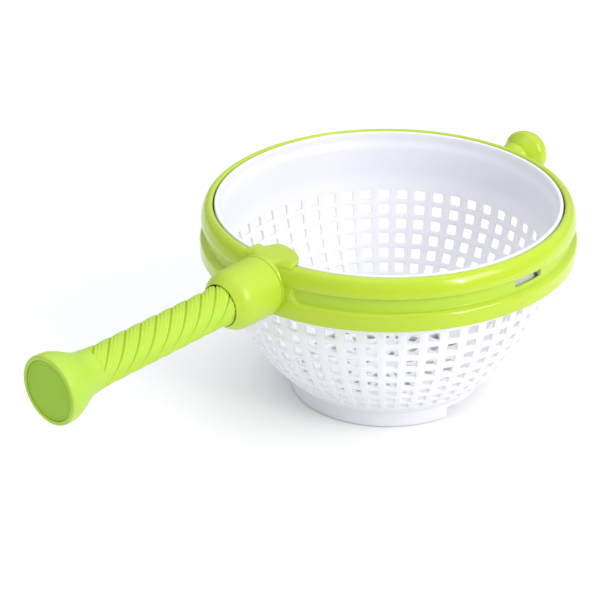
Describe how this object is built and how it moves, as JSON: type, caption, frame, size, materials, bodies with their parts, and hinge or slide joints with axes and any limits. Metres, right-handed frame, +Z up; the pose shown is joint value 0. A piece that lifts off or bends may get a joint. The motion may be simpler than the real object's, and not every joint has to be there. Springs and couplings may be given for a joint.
{
  "type": "salad spinner",
  "caption": "Hand-held salad spinner: a perforated bowl on a caged ball race inside a two-part ring, spun by twisting a straight handle through a geared hub, with a rest knob opposite.",
  "frame": {"origin": "on the basket's spin axis, at the plane that its foot stands on", "axes": "+Z up along the basket's spin axis; the handle lies along -X and the rest knob along +X"},
  "size_m": [0.4255, 0.2312, 0.1295],
  "materials": {
    "basket_white": "semi-gloss moulded polypropylene",
    "ring_green": "glossy moulded plastic",
    "grip_green": "satin soft-touch, twisted ribs",
    "cap_green": "satin",
    "gear_white": "natural acetal",
    "ball_chrome": "polished",
    "pin_steel": "turned",
    "bush_bronze": "sintered"
  },
  "bodies": {
    "frame": {"upper_ring": "ring_green", "lower_ring": "ring_green", "bottom_plate": "ring_green", "race_ring": "gear_white", "basket_keeper": "ring_green", "hub_housing": "ring_green", "hub_screws": "pin_steel", "bearing_plate": "gear_white", "shaft_bush": "bush_bronze", "annulus_gear": "gear_white", "handle_bush": "gear_white", "knob_neck": "ring_green", "rest_knob": "ring_green", "knob_screw": "pin_steel"},
    "basket": {"basket": "basket_white", "crown_gear": "gear_white"},
    "cage": {"ball_cage": "gear_white", "bearing_balls": "ball_chrome"},
    "shaft": {"drive_shaft": "pin_steel", "sun_gear": "gear_white", "drive_pinion": "gear_white"},
    "handle": {"planet_carrier": "gear_white", "planet_pins": "pin_steel", "cross_pin": "pin_steel", "handle_core": "gear_white", "grip_sleeve": "grip_green", "end_bell": "ring_green", "end_cap": "cap_green", "core_washer": "pin_steel", "core_screw": "pin_steel"},
    "planet_1": {"planet_gear_1": "gear_white"},
    "planet_2": {"planet_gear_2": "gear_white"},
    "planet_3": {"planet_gear_3": "gear_white"}
  },
  "joints": [
    {"name": "basket_spin", "type": "hinge", "parent": "frame", "child": "basket", "pos_m": [0, 0, 0.1095], "axis": [0, 0, 1], "continuous": true},
    {"name": "cage_spin", "type": "hinge", "parent": "frame", "child": "cage", "pos_m": [0, 0, 0.1095], "axis": [0, 0, 1], "continuous": true},
    {"name": "shaft_spin", "type": "hinge", "parent": "frame", "child": "shaft", "pos_m": [-0.118, 0, 0.1095], "axis": [-1, 0, 0], "continuous": true},
    {"name": "handle_twist", "type": "hinge", "parent": "frame", "child": "handle", "pos_m": [-0.136, 0, 0.1095], "axis": [-1, 0, 0], "continuous": true},
    {"name": "planet_1_spin", "type": "hinge", "parent": "handle", "child": "planet_1", "pos_m": [-0.126, 0, 0.1185], "axis": [-1, 0, 0], "continuous": true},
    {"name": "planet_2_spin", "type": "hinge", "parent": "handle", "child": "planet_2", "pos_m": [-0.126, 0.00779, 0.105], "axis": [-1, 0, 0], "continuous": true},
    {"name": "planet_3_spin", "type": "hinge", "parent": "handle", "child": "planet_3", "pos_m": [-0.126, -0.00779, 0.105], "axis": [-1, 0, 0], "continuous": true}
  ],
  "couplings": [
    {"joint": "cage_spin", "follows": "basket_spin", "ratio": 0.48592},
    {"joint": "shaft_spin", "follows": "basket_spin", "ratio": 11.25},
    {"joint": "handle_twist", "follows": "basket_spin", "ratio": 2.8125},
    {"joint": "planet_1_spin", "follows": "basket_spin", "ratio": -8.4375},
    {"joint": "planet_2_spin", "follows": "basket_spin", "ratio": -8.4375},
    {"joint": "planet_3_spin", "follows": "basket_spin", "ratio": -8.4375}
  ]
}
